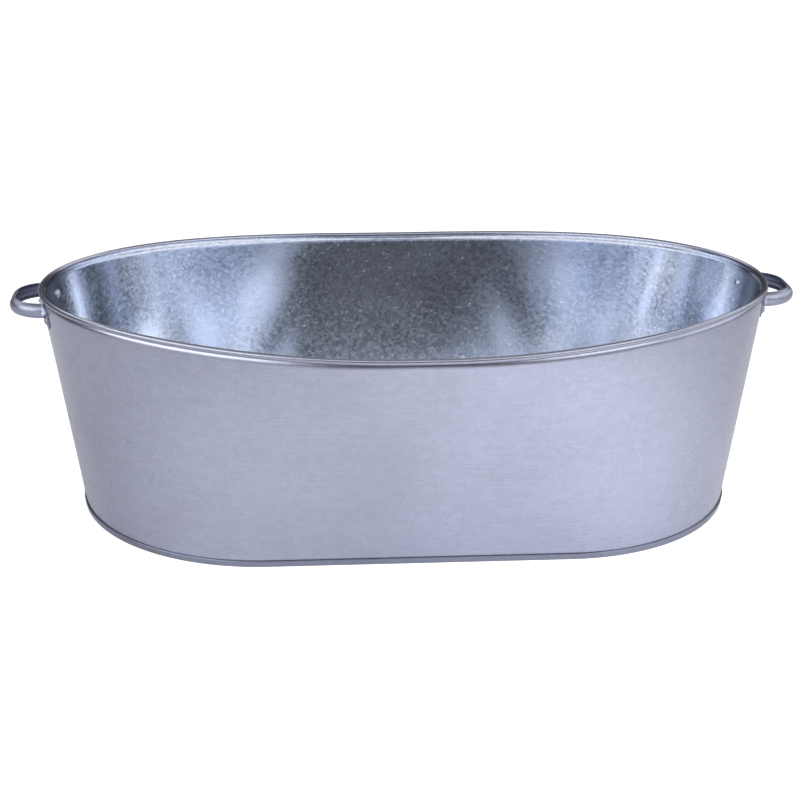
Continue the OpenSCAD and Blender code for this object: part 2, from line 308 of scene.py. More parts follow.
class Bench:
    """Operators of Blender, used as a worker uses tools: one piece is on the bench at a time."""

    @staticmethod
    def clear() -> None:
        """Takes everything off the bench: nothing is selected, and nothing is in edit mode."""
        if bpy.context.object and bpy.context.object.mode != "OBJECT":
            bpy.ops.object.mode_set(mode="OBJECT")
        bpy.ops.object.select_all(action="DESELECT")

    @staticmethod
    def take(piece: bpy.types.Object) -> bpy.types.Object:
        """Puts one piece on the bench and returns it."""
        Bench.clear()
        piece.select_set(True)
        bpy.context.view_layer.objects.active = piece
        return piece

    @staticmethod
    def name(name: str) -> bpy.types.Object:
        """Names the piece that a primitive has just made, and returns it."""
        piece = bpy.context.object
        piece.name = piece.data.name = name
        return piece

    @staticmethod
    def blank(name: str, columns: int, rows: int) -> bpy.types.Object:
        """Cuts a flat blank of sheet, one unit square.

        Args:
            name: The piece's name.
            columns: Faces along the blank.
            rows: Faces across it.

        Returns:
            The blank.
        """
        Bench.clear()
        bpy.ops.mesh.primitive_grid_add(x_subdivisions=columns, y_subdivisions=rows, size=1.0)
        return Bench.name(name)

    @staticmethod
    def form(piece: bpy.types.Object, press: Callable[[float, float], Vector]) -> None:
        """Presses a blank to shape.

        Args:
            piece: The blank.
            press: Gives the place of the blank's point at two shares of its length and width, from 0 to 1.
        """
        for vertex in piece.data.vertices:
            vertex.co = press(vertex.co.x + 0.5, vertex.co.y + 0.5)
        piece.data.update()

    @staticmethod
    def unpick(piece: bpy.types.Object, kind: Pick) -> None:
        """Puts a piece on the bench with nothing selected on it, ready to select this kind."""
        Bench.take(piece)
        bpy.ops.object.mode_set(mode="EDIT")
        bpy.ops.mesh.select_mode(type=kind.value)
        bpy.ops.mesh.select_all(action="DESELECT")
        bpy.ops.object.mode_set(mode="OBJECT")

    @staticmethod
    def pick(piece: bpy.types.Object, wanted: Callable[[Vector], bool], kind: Pick = Pick.VERTICES) -> None:
        """Selects the vertices or faces of a piece by their place, and leaves it in edit mode.

        Args:
            piece: The piece.
            wanted: Tells from a vertex's place or a face's centre whether it is selected.
            kind: Vertices or faces.
        """
        Bench.unpick(piece, kind)
        if kind is Pick.VERTICES:
            for vertex in piece.data.vertices:
                vertex.select = wanted(vertex.co)
        else:
            for polygon in piece.data.polygons:
                polygon.select = wanted(polygon.center)
        bpy.ops.object.mode_set(mode="EDIT")

    @staticmethod
    def modify(piece: bpy.types.Object, kind: str, **settings: object) -> None:
        """Adds a modifier with these settings and applies it."""
        Bench.take(piece)
        modifier = piece.modifiers.new(kind.title(), kind)
        for key, value in settings.items():
            setattr(modifier, key, value)
        bpy.ops.object.modifier_apply(modifier=modifier.name)

    @staticmethod
    def bevel(piece: bpy.types.Object, width: float, degrees: float = 60.0) -> None:
        """Rounds those edges of a piece that turn by more than this angle."""
        angle = math.radians(degrees)
        Bench.modify(piece, "BEVEL", width=width, segments=3, limit_method="ANGLE", angle_limit=angle)

    @staticmethod
    def coat(piece: bpy.types.Object, *finishes: bpy.types.Material) -> None:
        """Gives a piece its materials, in this order."""
        for finish in finishes:
            piece.data.materials.append(finish)

    @staticmethod
    def thicken(piece: bpy.types.Object, thickness: float) -> None:
        """Gives a formed sheet its thickness, half to each side, with its second finish on the other face."""
        Bench.modify(
            piece,
            "SOLIDIFY",
            thickness=thickness,
            offset=0.0,
            use_even_offset=True,
            use_quality_normals=True,
            material_offset=1,
            material_offset_rim=0,
        )

    @staticmethod
    def weld(piece: bpy.types.Object, outwards: bool = False) -> None:
        """Merges doubled vertices and, if asked, turns all faces outwards."""
        Bench.take(piece)
        bpy.ops.object.mode_set(mode="EDIT")
        bpy.ops.mesh.select_all(action="SELECT")
        bpy.ops.mesh.remove_doubles(threshold=TOUCH)
        if outwards:
            bpy.ops.mesh.normals_make_consistent(inside=False)
        bpy.ops.object.mode_set(mode="OBJECT")

    @staticmethod
    def join(pieces: Sequence[bpy.types.Object]) -> bpy.types.Object:
        """Joins several pieces into the first and returns it."""
        Bench.clear()
        for piece in pieces:
            piece.select_set(True)
        bpy.context.view_layer.objects.active = pieces[0]
        if len(pieces) > 1:
            bpy.ops.object.join()
        return pieces[0]

    @staticmethod
    def settle(piece: bpy.types.Object, place: Matrix) -> None:
        """Moves a piece's mesh to its place, so that the object itself stays at the origin."""
        piece.matrix_world = place @ piece.matrix_world
        Bench.take(piece)
        bpy.ops.object.transform_apply(location=True, rotation=True, scale=True)

    @staticmethod
    def copy(piece: bpy.types.Object, name: str) -> bpy.types.Object:
        """Copies a piece with a mesh of its own."""
        Bench.take(piece)
        bpy.ops.object.duplicate(linked=False)
        return Bench.name(name)

    @staticmethod
    def opposite(piece: bpy.types.Object, name: str) -> bpy.types.Object:
        """Copies a piece and turns the copy round to the opposite end of the tub."""
        other = Bench.copy(piece, name)
        Bench.settle(other, HALF_TURN)
        return other

    @staticmethod
    def flip(piece: bpy.types.Object) -> None:
        """Mirrors a piece across the long axis and turns its faces outwards again."""
        Bench.settle(piece, Matrix.Scale(-1, 4, (0, 1, 0)))
        Bench.weld(piece, outwards=True)

    @staticmethod
    def smooth(piece: bpy.types.Object, degrees: float = 35.0) -> None:
        """Shades a piece smooth, but keeps edges sharper than this angle."""
        Bench.take(piece)
        bpy.ops.object.shade_smooth_by_angle(angle=math.radians(degrees))


def bend(
    centre: tuple[float, float], radius: float, start: float, stop: float, steps: int
) -> list[tuple[float, float]]:
    """Lists the points of a bend.

    Args:
        centre: The bend's centre, outwards and up.
        radius: The bend's radius.
        start: First angle in degrees, from outwards towards up.
        stop: Last angle in degrees.
        steps: Number of equal steps.

    Returns:
        The points, outwards and up.
    """
    turns = [math.radians(start + (stop - start) * i / steps) for i in range(steps + 1)]
    return [(centre[0] + radius * math.cos(t), centre[1] + radius * math.sin(t)) for t in turns]


# ---- Shader maths ----


class Signal:
    """A number on its way through a node tree. Python's operators add its Math nodes."""

    def __init__(self, recipe: Recipe, socket: bpy.types.NodeSocket | None) -> None:
        """Wraps a node's output socket."""
        self.recipe = recipe
        self.socket = socket

    def calculate(self, operation: str, *values: Signal | float) -> Signal:
        """Adds a Math node whose inputs are these values, and returns its result."""
        return self.recipe.node("ShaderNodeMath", {"operation": operation}, dict(enumerate(values)))

    def __add__(self, other: Signal | float) -> Signal:
        """Returns the sum."""
        return self.calculate("ADD", self, other)

    __radd__ = __add__

    def __sub__(self, other: Signal | float) -> Signal:
        """Returns the difference."""
        return self.calculate("SUBTRACT", self, other)

    def __rsub__(self, other: float) -> Signal:
        """Returns the difference, the other way round."""
        return self.calculate("SUBTRACT", other, self)

    def __mul__(self, other: Signal | float) -> Signal:
        """Returns the product."""
        return self.calculate("MULTIPLY", self, other)

    def __abs__(self) -> Signal:
        """Returns the absolute value."""
        return self.calculate("ABSOLUTE", self)

    def rise(self, low: float, high: float) -> Signal:
        """Returns 0 below low and 1 above high, with a smooth rise between them."""
        return self.recipe.node(
            "ShaderNodeMapRange",
            {"interpolation_type": "SMOOTHSTEP"},
            {"Value": self, "From Min": low, "From Max": high},
        )

    def within(self, middle: float, half: float, soft: float) -> Signal:
        """Returns 1 within half of the middle, and 0 outside, with edges this soft."""
        low, high = middle - half, middle + half
        return self.rise(low - soft, low + soft) * (1 - self.rise(high - soft, high + soft))


class Recipe:
    """A node tree while it is being put together."""

    def __init__(self, tree: bpy.types.NodeTree) -> None:
        """Starts from an empty tree."""
        tree.nodes.clear()
        self.tree = tree

    def node(
        self, kind: str, settings: dict | None = None, inputs: dict | None = None, output: int | str = 0
    ) -> Signal:
        """Adds a node.

        Args:
            kind: The node's type.
            settings: The node's own settings, which are set first.
            inputs: Values or links of its sockets, by name or number.
            output: The name or number of the output that is returned.

        Returns:
            The chosen output.
        """
        node = self.tree.nodes.new(kind)
        for key, value in (settings or {}).items():
            setattr(node, key, value)
        for key, value in (inputs or {}).items():
            socket = node.inputs[key]
            if isinstance(value, Signal):
                self.tree.links.new(value.socket, socket)
            else:
                socket.default_value = value
        return Signal(self, node.outputs[output] if node.outputs else None)

    def place(self, stretch: Sequence[float] = (1, 1, 1), turn: Sequence[float] = (0, 0, 0)) -> Signal:
        """Returns the piece's own coordinates, turned by angles in degrees and then stretched."""
        coordinates = self.node("ShaderNodeTexCoord", output="Object")
        turned = self.node(
            "ShaderNodeMapping",
            {"vector_type": "POINT"},
            {"Vector": coordinates, "Rotation": [math.radians(t) for t in turn]},
        )
        return self.node("ShaderNodeVectorMath", {"operation": "MULTIPLY"}, {0: turned, 1: stretch})

    def noise(
        self, place: Signal, scale: float = 1.0, detail: float = 2.0, rough: float = 0.5, warp: float = 0.0
    ) -> Signal:
        """Returns noise from about 0 to 1, centred on 0.5."""
        return self.node(
            "ShaderNodeTexNoise",
            {"noise_dimensions": "3D"},
            {"Vector": place, "Scale": scale, "Detail": detail, "Roughness": rough, "Distortion": warp},
        )

    def spangle(self, scale: float) -> Signal:
        """Returns crystal flakes, each with a level of its own from 0 to 1."""
        flakes = self.node(
            "ShaderNodeTexVoronoi", {"feature": "F1"}, {"Vector": self.place(), "Scale": scale}, "Color"
        )
        return self.node("ShaderNodeSeparateColor", {}, {"Color": flakes})

    def tint(self, factor: Signal, low: Sequence[float], high: Sequence[float]) -> Signal:
        """Mixes two colours by a factor."""
        inputs = {"Factor": factor, 6: (*low, 1.0), 7: (*high, 1.0)}
        return self.node("ShaderNodeMix", {"data_type": "RGBA"}, inputs, output=2)

    def split(self, vector: Signal) -> tuple[Signal, Signal, Signal]:
        """Splits a vector into its three numbers."""
        first = self.node("ShaderNodeSeparateXYZ", {}, {"Vector": vector})
        return tuple(Signal(self, output) for output in first.socket.node.outputs)

    def principled(self, inputs: dict) -> None:
        """Ends a material with a principled shader that has these inputs."""
        shader = self.node("ShaderNodeBsdfPrincipled", {}, inputs)
        self.node("ShaderNodeOutputMaterial", {}, {"Surface": shader})


def swings(middle: float, *parts: tuple[Signal, float]) -> Signal:
    """Adds signals to a middle value, each as its distance from 0.5 times a weight of its own."""
    total = middle
    for signal, weight in parts:
        total = total + (signal - 0.5) * weight
    return total


# ---- Finishes ----


@dataclass(frozen=True)
class Finish:
    """What all metal finishes of the trough share.

    dark and light are the shares of the colour between which its tone varies. relief and depth are the strength and
    the height of its fine bumps.
    """

    name: str
    colour: tuple[float, float, float]
    roughness: float
    dark: float
    light: float
    relief: float
    depth: float

    def make(self) -> bpy.types.Material:
        """Builds the material and returns it."""
        material = bpy.data.materials.new(self.name)
        material.use_nodes = True
        material.diffuse_color = (*self.colour, 1.0)
        recipe = Recipe(material.node_tree)
        tone, roughness, height = self.surface(recipe)
        relief = {"Height": height, "Strength": self.relief, "Distance": self.depth}
        recipe.principled(
            {
                "Base Color": recipe.tint(tone, self.shade(self.dark), self.shade(self.light)),
                "Metallic": 1.0,
                "Roughness": roughness,
                "Normal": recipe.node("ShaderNodeBump", {}, relief),
            }
        )
        return material

    def shade(self, share: float) -> tuple[float, ...]:
        """Returns the finish's colour made lighter or darker by a share."""
        return tuple(min(1.0, c * share) for c in self.colour)

    def surface(self, recipe: Recipe) -> tuple[Signal, Signal, Signal]:
        """Returns the finish's tone, roughness and height."""
        raise NotImplementedError


@dataclass(frozen=True)
class BrushedZinc(Finish):
    """The outside, the roll and the hem: dull zinc with fine level brushing, soft mottling and faint scuffs. Their
    colours are darker copies of the inside's zinc: painted shade.
    """

    dark: float = 0.84
    light: float = 1.16
    relief: float = 0.03
    depth: float = 0.3 * MM
    scuff: float = 0.4

    def surface(self, recipe: Recipe) -> tuple[Signal, Signal, Signal]:
        """Returns the tone, roughness and height of the brushed zinc."""
        streaks = recipe.noise(recipe.place((7, 7, 900)), detail=3.0, rough=0.6)
        threads = recipe.noise(recipe.place((30, 30, 2600)), rough=0.6)
        clouds = recipe.noise(recipe.place(), 6.0, 4.0, 0.55, 0.4)
        flakes = recipe.spangle(160.0)
        grain = recipe.noise(recipe.place(), 700.0, rough=0.6)
        scuffs = recipe.noise(recipe.place((40, 40, 700), (0, 7, 0))).rise(0.66, 0.80)
        scuffs = scuffs * recipe.noise(recipe.place(), 9.0).rise(0.5, 0.7)
        drift = recipe.noise(recipe.place((3, 3, 5)), warp=0.3)
        tone = swings(
            0.5, (streaks, 0.5), (threads, 0.5), (clouds, 0.9), (flakes, 0.2), (grain, 0.7), (drift, 0.8)
        )
        roughness = swings(self.roughness, (clouds, 0.10), (streaks, 0.08))
        return tone - scuffs * self.scuff, roughness, streaks * 0.5 + threads * 0.3 + grain * 0.2


@dataclass(frozen=True)
class SpangledZinc(Finish):
    """The inside and the pan: zinc with a fine crystal spangle and short scratches every way. Its colours are lighter
    copies of the outside's zinc: painted light.
    """

    dark: float = 0.80
    light: float = 1.15
    relief: float = 0.05
    depth: float = 0.5 * MM
    scratch_turns: tuple[float, ...] = (74.0, -58.0, 12.0)

    def surface(self, recipe: Recipe) -> tuple[Signal, Signal, Signal]:
        """Returns the tone, roughness and height of the spangled zinc."""
        clouds = recipe.noise(recipe.place(), 8.0, 4.0, 0.55, 0.5)
        grain = recipe.noise(recipe.place(), 420.0, 3.0, 0.7)
        flakes = recipe.spangle(330.0)
        scratches = self.scratch(recipe, self.scratch_turns[0])
        for turn in self.scratch_turns[1:]:
            scratches = scratches + self.scratch(recipe, turn)
        streaks = recipe.noise(recipe.place((9, 9, 700)), detail=3.0, rough=0.6)
        tone = swings(0.5, (clouds, 0.4), (flakes, 0.55), (grain, 0.9), (streaks, 0.3))
        roughness = swings(self.roughness, (clouds, 0.06), (flakes, 0.08))
        height = flakes * 0.35 + grain * 0.35 + scratches * 0.6 + streaks * 0.2
        return tone + scratches * 0.5, roughness + scratches * 0.10, height

    @staticmethod
    def scratch(recipe: Recipe, turn: float) -> Signal:
        """Returns short fine scratches that run at an angle from level, in degrees."""
        return recipe.noise(recipe.place((90, 90, 1500), (0, turn, 0)), detail=1.0, rough=0.4).rise(0.68, 0.80)


@dataclass(frozen=True)
class PressedZinc(Finish):
    """The handles, the rivets and the wire: zinc with soft mottling and faint drawing lines."""

    dark: float = 0.82
    light: float = 1.15
    relief: float = 0.12
    depth: float = 0.3 * MM

    def surface(self, recipe: Recipe) -> tuple[Signal, Signal, Signal]:
        """Returns the tone, roughness and height of the pressed zinc."""
        clouds = recipe.noise(recipe.place(), 70.0, 3.0, 0.55)
        grain = recipe.noise(recipe.place(), 900.0, rough=0.6)
        drawn = recipe.noise(recipe.place((120, 120, 1800)), rough=0.6)
        tone = swings(0.5, (clouds, 0.9), (drawn, 0.4))
        return tone, swings(self.roughness, (clouds, 0.18)), grain * 0.5 + drawn * 0.5


@dataclass(frozen=True)
class Finishes:
    """The finishes of the whole trough."""

    # The outside is a darker copy of the same zinc as the inside: painted shade.
    outside: Finish = BrushedZinc("zinc_brushed_outside_painted_shade", (0.375, 0.392, 0.50), 0.27)
    # The inside is a lighter copy of the same zinc as the outside: painted light.
    inside: Finish = SpangledZinc("zinc_spangled_inside_painted_light", (0.735, 0.775, 0.86), 0.155)
    # The roll is a still darker copy of the outside's zinc: painted shade on the rolled edge.
    roll: Finish = BrushedZinc("zinc_rolled_edge_painted_shade", (0.33, 0.345, 0.43), 0.24)
    # The hem is the darkest copy of the outside's zinc: painted shade at the foot of the tub.
    hem: Finish = BrushedZinc("zinc_folded_hem_painted_shade", (0.235, 0.25, 0.325), 0.28)
    # The pan's floor is a lighter copy of the same zinc: painted light.
    pan: Finish = SpangledZinc("zinc_base_pan_painted_light", (0.72, 0.74, 0.80), 0.18)
    # The strap and the rivets are dark partly in their own matte tone and partly as painted shade of the shadowed
    # feet.
    strap: Finish = PressedZinc("zinc_pressed_strap_and_painted_shade", (0.33, 0.35, 0.45), 0.38)
    rivet: Finish = PressedZinc("zinc_rivet_and_painted_shade", (0.36, 0.385, 0.48), 0.34)
    wire: Finish = PressedZinc("drawn_rim_wire", (0.40, 0.42, 0.46), 0.40)


# ---- Pieces ----


@dataclass
class WallSheets:
    """The two wall sheets with their shoulder, roll, lock seams and bottom hook."""

    form: TubForm
    outside: bpy.types.Material
    inside: bpy.types.Material
    roll: bpy.types.Material
    foot: float = 3.0 * MM
    hook_radius: float = 0.55 * MM
    hook_start: float = -15.0
    hook_steps: int = 4
    wall_rows: int = 10
    shoulder_rows: int = 6
    shoulder_round: float = 2.6 * MM
    curl_end: float = -115.0
    curl_steps: int = 26
    seam_radius: float = 0.5 * MM
    seam_rows: int = 12

    @property
    def neck(self) -> Spot:
        """The point where the shoulder meets the roll."""
        return Spot(-(self.form.curl_radius + self.form.sheet / 2), -self.form.neck, Datum.ROLL)

    def section(self) -> list[Spot]:
        """Lists the middle line of the sheet, from the tip of the bottom hook to the edge inside the roll."""
        form, radius, steps = self.form, self.hook_radius, self.hook_steps
        half = form.sheet / 2
        out = form.layer(2)
        low = form.sheet + form.fold_gap + half
        points = [(out, form.hem - form.sheet - form.tip_gap), (out, low + radius)]
        points += bend((out - radius, low + radius), radius, self.hook_start, -90, steps)
        points += bend((radius - half, low + radius), radius, -90, -180, steps)
        points.append((-half, self.foot))
        spots = [Spot(*point) for point in points]
        spots += [Spot(-half, i / self.wall_rows, Datum.WALL) for i in range(1, self.wall_rows + 1)]
        spots += [Spot(-half, i / self.shoulder_rows, Datum.SHOULDER) for i in range(1, self.shoulder_rows + 1)]
        spots.append(self.neck)
        curl = bend((0.0, 0.0), form.curl_radius + half, 180, self.curl_end, self.curl_steps)
        return spots + [Spot(*point, Datum.ROLL) for point in curl]

    def locate(self, station: Station, spot: Spot) -> Vector:
        """Finds a point of the section on the tub, with the wall's own height shared out between its rows.

        Args:
            station: The line up the wall that the section crosses.
            spot: The point of the section.

        Returns:
            The point in the tub's frame.
        """
        form = self.form
        if spot.datum in (Datum.GROUND, Datum.ROLL):
            return form.place(station, spot)
        top = form.roll_height(form.rim_oval.point(station.rim_angle, station.side))
        wall_top = top - form.shoulder - self.shoulder_round
        if spot.datum is Datum.WALL:
            return form.place(station, Spot(spot.out, self.foot + (wall_top - self.foot) * spot.up))
        below = form.place(station, Spot(spot.out, wall_top))
        crease = form.place(station, Spot(spot.out, top - form.shoulder))
        neck = form.place(station, self.neck)
        above = crease.lerp(neck, self.shoulder_round / (form.shoulder - form.neck))
        return below.lerp(crease, spot.up).lerp(crease.lerp(above, spot.up), spot.up)

    def sheet(self, name: str) -> bpy.types.Object:
        """Forms the front sheet out of a flat blank.

        Args:
            name: The piece's name.

        Returns:
            The formed sheet, with its thickness.
        """
        stations = self.form.half_stations()
        spots = self.section()
        rows = len(spots) - 1
        blank = Bench.blank(name, len(stations) - 1, rows)
        finishes = [self.outside, self.inside, self.roll, self.roll]
        Bench.coat(blank, *finishes)
        # The roll's faces take the darker roll finish, which paints shade on the rolled edge.
        Bench.pick(blank, lambda place: place.y + 0.5 > 1 - self.curl_steps / rows, Pick.FACES)
        blank.active_material_index = finishes.index(self.roll)
        bpy.ops.object.material_slot_assign()
        bpy.ops.object.mode_set(mode="OBJECT")

        def press(along: float, across: float) -> Vector:
            """Returns the place of one point of the blank."""
            station = stations[round(along * (len(stations) - 1))]
            return self.locate(station, spots[round(across * (len(spots) - 1))])

        Bench.form(blank, press)
        Bench.thicken(blank, self.form.sheet)
        return blank

    def seam_fold(self, name: str, line: Sequence[tuple[float, float]]) -> bpy.types.Object:
        """Forms one folded edge of the right end's lock seam.

        Args:
            name: The piece's name.
            line: The fold's middle line, as distances out of the wall and along Y.

        Returns:
            The fold, with its thickness.
        """
        form = self.form
        low = form.hem + form.tip_gap + form.sheet
        high = form.rim_height - form.roll_radius - form.shoulder - 2 * form.tip_gap
        frame = form.wall_frame(0.0, low)
        length = (high - low) / math.cos(form.lean(0.0))
        fold = Bench.blank(name, len(line) - 1, self.seam_rows)

        def press(along: float, across: float) -> Vector:
            """Returns the place of one point of the blank."""
            out, y = line[round(along * (len(line) - 1))]
            return frame @ Vector((out, y, length * across))

        Bench.form(fold, press)
        Bench.coat(fold, self.outside, self.outside)
        Bench.thicken(fold, form.sheet)
        return fold

    def front_fold(self) -> bpy.types.Object:
        """Forms the edge that comes from the front and turns back once, in the second layer."""
        form, radius = self.form, self.seam_radius
        out, root = form.layer(2), -form.sheet / 3
        riser = form.seam_half - form.tip_gap - form.sheet
        line = [(root, riser), (out - radius, riser)]
        line += bend((out - radius, riser - radius), radius, 90, 0, 4)
        line.append((out, -form.seam_half + form.sheet + form.tip_gap))
        return self.seam_fold("front_fold", line)

    def back_fold(self) -> bpy.types.Object:
        """Forms the edge that comes from the back, runs over the seam and returns under it."""
        form, radius = self.form, self.seam_radius
        out, under, root = form.layer(3), form.layer(1), -form.sheet / 3
        start = form.seam_half - form.tip_gap + form.seam_lap + form.sheet
        far = -form.seam_half + form.sheet / 2
        line = [(root, start), (out - radius, start)]
        line += bend((out - radius, start - radius), radius, 90, 0, 5)
        line.append((out, (start + far) / 2))
        line += bend((out - radius, far + radius), radius, 0, -90, 5)
        line += bend((under + radius, far + radius), radius, -90, -180, 5)
        line.append((under, form.seam_half - 2 * form.sheet - 2 * form.tip_gap))
        return self.seam_fold("back_fold", line)

    def build(self) -> dict[str, bpy.types.Object]:
        """Builds both sheets, each with its two seam folds.

        Returns:
            The CAD node that each piece stands for, and the piece.
        """
        front = self.sheet("front_wall_sheet")
        lap = self.back_fold()
        Bench.settle(lap, HALF_TURN)
        front = Bench.join([front, self.front_fold(), lap])
        Bench.smooth(front)
        return {"wall_front": front, "wall_back": Bench.opposite(front, "back_wall_sheet")}


@dataclass
class BasePan:
    """The raised base with the hem that grips the walls' hooks."""

    form: TubForm
    under: bpy.types.Material
    floor: bpy.types.Material
    rings: int = 5
    ring_width: float = 30 * MM
    hem_round: float = 0.75 * MM
    tip_round: float = 0.3 * MM
    tip_height: float = 2.6 * MM

    def section(self) -> list[Spot]:
        """Lists the middle line of the pan, from its floor's edge to the tip locked behind the walls' hooks."""
        form = self.form
        half = form.sheet / 2
        inner, outer, tip = -form.sheet - form.fold_gap - half, form.layer(3), form.layer(1)
        radius, floor_radius, tip_radius = self.hem_round, form.pan_bend + half, self.tip_round
        top, rim = form.pan_raise - half, form.hem - half
        points = bend((inner - floor_radius, top - floor_radius), floor_radius, 90, 0, 6)
        points += bend((inner + radius, half + radius), radius, 180, 270, 4)
        points += bend((outer - radius, half + radius), radius, 270, 360, 6)
        points.append((outer, form.hem / 2))
        points += bend((outer - radius, rim - radius), radius, 0, 90, 6)
        points += bend((tip + tip_radius, rim - tip_radius), tip_radius, 90, 180, 3)
        points.append((tip, self.tip_height))
        return [Spot(*point) for point in points]

    def build(self) -> dict[str, bpy.types.Object]:
        """Builds the pan out of a round blank: its floor is inset, and its edge is drawn down and folded.

        Returns:
            The CAD node that the piece stands for, and the piece.
        """
        stations = self.form.ring_stations()
        spots = self.section()
        Bench.clear()
        bpy.ops.mesh.primitive_circle_add(vertices=len(stations), radius=1.0, fill_type="NGON")
        pan = Bench.name("base_pan_sheet")
        for vertex, station in zip(pan.data.vertices, stations):
            vertex.co = self.form.place(station, spots[0])
        Bench.pick(pan, lambda centre: True, Pick.FACES)
        for _ in range(self.rings):
            bpy.ops.mesh.inset(thickness=self.ring_width)
        bpy.ops.object.mode_set(mode="OBJECT")
        edge = range(len(stations))
        for spot in spots[1:]:
            self.draw_edge(pan, edge)
            total = len(pan.data.vertices)
            edge = range(total - len(stations), total)
            for index, station in zip(edge, stations):
                pan.data.vertices[index].co = self.form.place(station, spot)
        # The pan's floor takes the lighter pan finish, painted light, and its other side with the hem takes the
        # darker hem finish, painted shade.
        Bench.coat(pan, self.floor, self.under)
        Bench.weld(pan)
        Bench.thicken(pan, self.form.sheet)
        Bench.smooth(pan)
        return {"base_pan": pan}

    @staticmethod
    def draw_edge(pan: bpy.types.Object, edge: Sequence[int]) -> None:
        """Extrudes the loop of these vertices, which leaves the new loop last in the mesh.

        Args:
            pan: The piece.
            edge: The loop's vertices.
        """
        Bench.unpick(pan, Pick.VERTICES)
        chosen = set(edge)
        for index in chosen:
            pan.data.vertices[index].select = True
        for line in pan.data.edges:
            line.select = line.vertices[0] in chosen and line.vertices[1] in chosen
        bpy.ops.object.mode_set(mode="EDIT")
        bpy.ops.mesh.select_mode(type=Pick.EDGES.value)
        bpy.ops.mesh.extrude_edges_move()
        bpy.ops.object.mode_set(mode="OBJECT")


